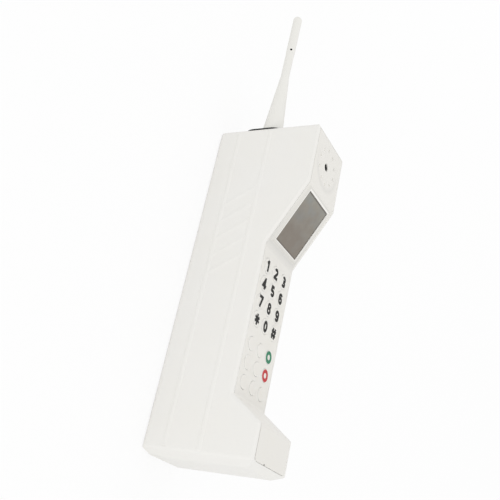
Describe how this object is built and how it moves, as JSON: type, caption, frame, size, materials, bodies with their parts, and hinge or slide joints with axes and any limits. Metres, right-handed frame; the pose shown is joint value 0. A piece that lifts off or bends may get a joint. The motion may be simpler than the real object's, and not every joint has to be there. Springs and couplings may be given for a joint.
{
  "type": "brick cell phone",
  "caption": "Brick-shaped handheld cell phone with a dished earpiece, a sloped display, a set-back keypad, a forward chin, a sliding battery door and a stub antenna.",
  "frame": {"origin": "middle of the box's underside, with the phone lying on its back", "axes": "+X across the phone to its right seen from the keypad, +Y along it toward the antenna, +Z out of the keypad"},
  "size_m": [0.0488, 0.3448, 0.0785],
  "materials": {
    "shell": "moulded, fine satin",
    "front": "moulded, fine satin",
    "key": "moulded, satin",
    "antenna": "smooth moulded cover",
    "window": "smoked, polished",
    "display": "dark panel",
    "seal": "matt black",
    "mat": "matt",
    "board": "green solder mask",
    "cable": "flat ribbon",
    "connector": "black moulding",
    "battery": "dark wrapped case",
    "chassis": "brushed",
    "plated_metal": "tin plated",
    "contact": "bright",
    "pin": "black oxide",
    "screw": "zinc plated"
  },
  "bodies": {
    "phone": {"main_housing": "shell", "front_cover": "front", "display_bezel": "front", "display_window": "window", "display_gasket": "seal", "display_module": "display", "earpiece_screen": "seal", "earpiece_gasket": "seal", "earpiece_driver": "plated_metal", "mic_boot": "seal", "microphone": "plated_metal", "key_mat": "mat", "keypad_board": "board", "ribbon_link": "cable", "main_board": "board", "shield_can": "plated_metal", "chassis_plate": "chassis", "contact_block": "connector", "battery_contacts": "contact", "battery_pack": "battery", "antenna_gasket": "seal", "antenna_bush": "contact", "antenna_lead": "contact", "case_screws": "screw", "board_screws": "screw"},
    "antenna": {"antenna_stud": "plated_metal", "antenna_boot": "antenna", "antenna_whip": "antenna", "antenna_tip": "antenna", "antenna_pin": "pin"},
    "battery_door": {"battery_door": "shell"},
    "key_1": {"key_1": "key"},
    "key_2": {"key_2": "key"},
    "key_3": {"key_3": "key"},
    "key_4": {"key_4": "key"},
    "key_5": {"key_5": "key"},
    "key_6": {"key_6": "key"},
    "key_7": {"key_7": "key"},
    "key_8": {"key_8": "key"},
    "key_9": {"key_9": "key"},
    "key_star": {"key_star": "key"},
    "key_0": {"key_0": "key"},
    "key_hash": {"key_hash": "key"},
    "key_f1": {"key_f1": "key"},
    "key_f2": {"key_f2": "key"},
    "key_f3": {"key_f3": "key"},
    "key_f4": {"key_f4": "key"},
    "key_f5": {"key_f5": "key"},
    "key_f6": {"key_f6": "key"},
    "key_f7": {"key_f7": "key"},
    "key_f8": {"key_f8": "key"},
    "key_f9": {"key_f9": "key"}
  },
  "joints": [
    {"name": "antenna_turn", "type": "hinge", "parent": "phone", "child": "antenna", "pos_m": [-0.0128, 0.0624, 0.036], "axis": [0, 1, 0], "range_deg": [0, 720]},
    {"name": "battery_door_slide", "type": "slide", "parent": "phone", "child": "battery_door", "axis": [0, -1, 0], "range_m": [0, 0.155]},
    {"name": "key_1_press", "type": "slide", "parent": "phone", "child": "key_1", "axis": [0, 0, -1], "range_m": [0, 0.0009], "stiffness_N_per_m": 150},
    {"name": "key_2_press", "type": "slide", "parent": "phone", "child": "key_2", "axis": [0, 0, -1], "range_m": [0, 0.0009], "stiffness_N_per_m": 150},
    {"name": "key_3_press", "type": "slide", "parent": "phone", "child": "key_3", "axis": [0, 0, -1], "range_m": [0, 0.0009], "stiffness_N_per_m": 150},
    {"name": "key_4_press", "type": "slide", "parent": "phone", "child": "key_4", "axis": [0, 0, -1], "range_m": [0, 0.0009], "stiffness_N_per_m": 150},
    {"name": "key_5_press", "type": "slide", "parent": "phone", "child": "key_5", "axis": [0, 0, -1], "range_m": [0, 0.0009], "stiffness_N_per_m": 150},
    {"name": "key_6_press", "type": "slide", "parent": "phone", "child": "key_6", "axis": [0, 0, -1], "range_m": [0, 0.0009], "stiffness_N_per_m": 150},
    {"name": "key_7_press", "type": "slide", "parent": "phone", "child": "key_7", "axis": [0, 0, -1], "range_m": [0, 0.0009], "stiffness_N_per_m": 150},
    {"name": "key_8_press", "type": "slide", "parent": "phone", "child": "key_8", "axis": [0, 0, -1], "range_m": [0, 0.0009], "stiffness_N_per_m": 150},
    {"name": "key_9_press", "type": "slide", "parent": "phone", "child": "key_9", "axis": [0, 0, -1], "range_m": [0, 0.0009], "stiffness_N_per_m": 150},
    {"name": "key_star_press", "type": "slide", "parent": "phone", "child": "key_star", "axis": [0, 0, -1], "range_m": [0, 0.0009], "stiffness_N_per_m": 150},
    {"name": "key_0_press", "type": "slide", "parent": "phone", "child": "key_0", "axis": [0, 0, -1], "range_m": [0, 0.0009], "stiffness_N_per_m": 150},
    {"name": "key_hash_press", "type": "slide", "parent": "phone", "child": "key_hash", "axis": [0, 0, -1], "range_m": [0, 0.0009], "stiffness_N_per_m": 150},
    {"name": "key_f1_press", "type": "slide", "parent": "phone", "child": "key_f1", "axis": [0, 0, -1], "range_m": [0, 0.0009], "stiffness_N_per_m": 150},
    {"name": "key_f2_press", "type": "slide", "parent": "phone", "child": "key_f2", "axis": [0, 0, -1], "range_m": [0, 0.0009], "stiffness_N_per_m": 150},
    {"name": "key_f3_press", "type": "slide", "parent": "phone", "child": "key_f3", "axis": [0, 0, -1], "range_m": [0, 0.0009], "stiffness_N_per_m": 150},
    {"name": "key_f4_press", "type": "slide", "parent": "phone", "child": "key_f4", "axis": [0, 0, -1], "range_m": [0, 0.0009], "stiffness_N_per_m": 150},
    {"name": "key_f5_press", "type": "slide", "parent": "phone", "child": "key_f5", "axis": [0, 0, -1], "range_m": [0, 0.0009], "stiffness_N_per_m": 150},
    {"name": "key_f6_press", "type": "slide", "parent": "phone", "child": "key_f6", "axis": [0, 0, -1], "range_m": [0, 0.0009], "stiffness_N_per_m": 150},
    {"name": "key_f7_press", "type": "slide", "parent": "phone", "child": "key_f7", "axis": [0, 0, -1], "range_m": [0, 0.0009], "stiffness_N_per_m": 150},
    {"name": "key_f8_press", "type": "slide", "parent": "phone", "child": "key_f8", "axis": [0, 0, -1], "range_m": [0, 0.0009], "stiffness_N_per_m": 150},
    {"name": "key_f9_press", "type": "slide", "parent": "phone", "child": "key_f9", "axis": [0, 0, -1], "range_m": [0, 0.0009], "stiffness_N_per_m": 150}
  ]
}
